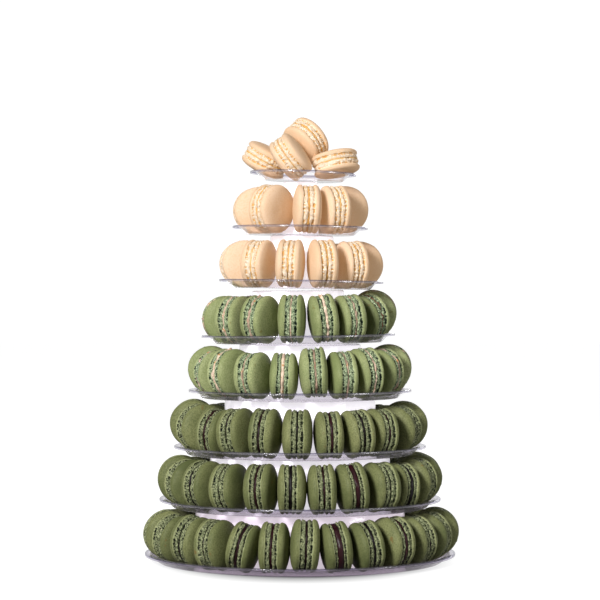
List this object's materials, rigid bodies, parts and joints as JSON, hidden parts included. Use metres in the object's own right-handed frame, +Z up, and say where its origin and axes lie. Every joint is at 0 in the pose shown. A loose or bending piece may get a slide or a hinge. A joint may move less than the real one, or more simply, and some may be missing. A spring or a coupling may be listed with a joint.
{
  "type": "macaron tower",
  "caption": "Tiered clear plastic stand, narrower toward the top, with macarons standing on edge round each tier and a small pile on the top tray.",
  "frame": {"origin": "on the table, under the middle of the bottom tray", "axes": "+Z is up along the tower's axis, -Y is the front that the picture shows, and +X is to its right"},
  "size_m": [0.3135, 0.3125, 0.4407],
  "materials": {
    "clear_plastic": "thin clear plastic, glossy",
    "cream_shell": "smooth satin biscuit shell, cream, with a paler ruffled foot",
    "sage_shell": "smooth satin biscuit shell, sage green, with a pitted foot",
    "olive_shell": "smooth satin biscuit shell, olive green, with a pitted foot"
  },
  "bodies": {
    "root": {"tray_1": "clear_plastic", "tray_2": "clear_plastic", "tray_3": "clear_plastic", "tray_4": "clear_plastic", "tray_5": "clear_plastic", "tray_6": "clear_plastic", "tray_7": "clear_plastic", "tray_8": "clear_plastic", "top_macaron_1": "cream_shell", "top_macaron_2": "cream_shell", "top_macaron_3": "cream_shell", "top_macaron_4": "cream_shell", "tier2_macaron_01": "cream_shell", "tier2_macaron_02": "cream_shell", "tier2_macaron_03": "cream_shell", "tier2_macaron_04": "cream_shell", "tier2_macaron_05": "cream_shell", "tier2_macaron_06": "cream_shell", "tier2_macaron_07": "cream_shell", "tier2_macaron_08": "cream_shell", "tier3_macaron_01": "cream_shell", "tier3_macaron_02": "cream_shell", "tier3_macaron_03": "cream_shell", "tier3_macaron_04": "cream_shell", "tier3_macaron_05": "cream_shell", "tier3_macaron_06": "cream_shell", "tier3_macaron_07": "cream_shell", "tier3_macaron_08": "cream_shell", "tier3_macaron_09": "cream_shell", "tier3_macaron_10": "cream_shell", "tier4_macaron_01": "sage_shell", "tier4_macaron_02": "sage_shell", "tier4_macaron_03": "sage_shell", "tier4_macaron_04": "sage_shell", "tier4_macaron_05": "sage_shell", "tier4_macaron_06": "sage_shell", "tier4_macaron_07": "sage_shell", "tier4_macaron_08": "sage_shell", "tier4_macaron_09": "sage_shell", "tier4_macaron_10": "sage_shell", "tier4_macaron_11": "sage_shell", "tier4_macaron_12": "sage_shell", "tier4_macaron_13": "sage_shell", "tier4_macaron_14": "sage_shell", "macaron_ring_5": "sage_shell", "macaron_ring_6": "olive_shell", "macaron_ring_7": "olive_shell", "macaron_ring_8": "olive_shell"}
  },
  "joints": []
}
